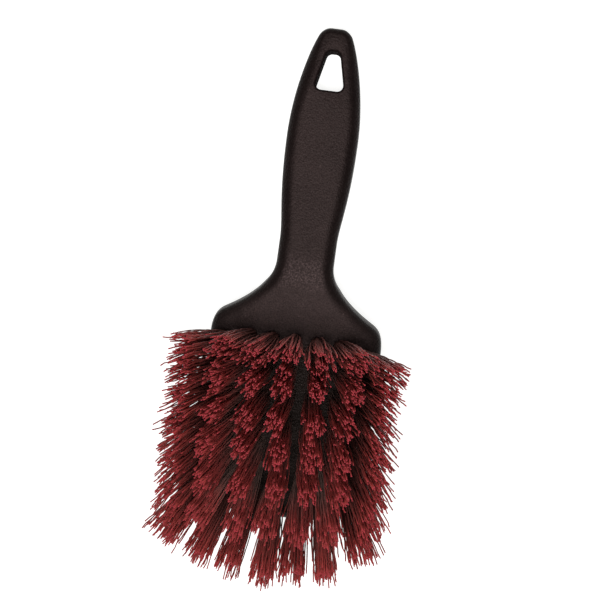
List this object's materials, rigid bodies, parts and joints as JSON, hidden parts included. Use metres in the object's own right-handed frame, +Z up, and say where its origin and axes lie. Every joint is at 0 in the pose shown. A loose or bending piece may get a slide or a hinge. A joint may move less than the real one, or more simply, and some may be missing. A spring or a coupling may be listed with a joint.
{
  "type": "wheel brush",
  "caption": "Short-handled wheel brush: one-piece angled plastic handle and block with a hanging hole, and a dense splayed field of stiff red tufts.",
  "frame": {"origin": "centre of the bounding box, on the surface the brush lies on", "axes": "+X along the brush toward the hanging hole, +Z up out of the tuft side; the brush lies on its back, on the hanging end and the nose"},
  "size_m": [0.2326, 0.0968, 0.0792],
  "materials": {
    "black_plastic": "fine pebbled grain",
    "red_bristle": "satin filament"
  },
  "bodies": {
    "root": {"handle_block": "black_plastic", "tuft_r1_c1": "red_bristle", "tuft_r1_c2": "red_bristle", "tuft_r1_c3": "red_bristle", "tuft_r1_c4": "red_bristle", "tuft_r1_c5": "red_bristle", "tuft_r1_c6": "red_bristle", "tuft_r1_c7": "red_bristle", "tuft_r2_c1": "red_bristle", "tuft_r2_c2": "red_bristle", "tuft_r2_c3": "red_bristle", "tuft_r2_c4": "red_bristle", "tuft_r2_c5": "red_bristle", "tuft_r2_c6": "red_bristle", "tuft_r2_c7": "red_bristle", "tuft_r3_c1": "red_bristle", "tuft_r3_c2": "red_bristle", "tuft_r3_c3": "red_bristle", "tuft_r3_c4": "red_bristle", "tuft_r3_c5": "red_bristle", "tuft_r3_c6": "red_bristle", "tuft_r3_c7": "red_bristle", "tuft_r4_c1": "red_bristle", "tuft_r4_c2": "red_bristle", "tuft_r4_c3": "red_bristle", "tuft_r4_c4": "red_bristle", "tuft_r4_c5": "red_bristle", "tuft_r4_c6": "red_bristle", "tuft_r4_c7": "red_bristle", "tuft_r5_c1": "red_bristle", "tuft_r5_c2": "red_bristle", "tuft_r5_c3": "red_bristle", "tuft_r5_c4": "red_bristle", "tuft_r5_c5": "red_bristle", "tuft_r5_c6": "red_bristle", "tuft_r5_c7": "red_bristle", "tuft_r6_c1": "red_bristle", "tuft_r6_c2": "red_bristle", "tuft_r6_c3": "red_bristle", "tuft_r6_c4": "red_bristle", "tuft_r6_c5": "red_bristle", "tuft_r6_c6": "red_bristle", "tuft_r6_c7": "red_bristle", "tuft_r7_c1": "red_bristle", "tuft_r7_c2": "red_bristle", "tuft_r7_c3": "red_bristle", "tuft_r7_c4": "red_bristle", "tuft_r7_c5": "red_bristle", "tuft_r7_c6": "red_bristle", "tuft_r7_c7": "red_bristle"}
  },
  "joints": []
}
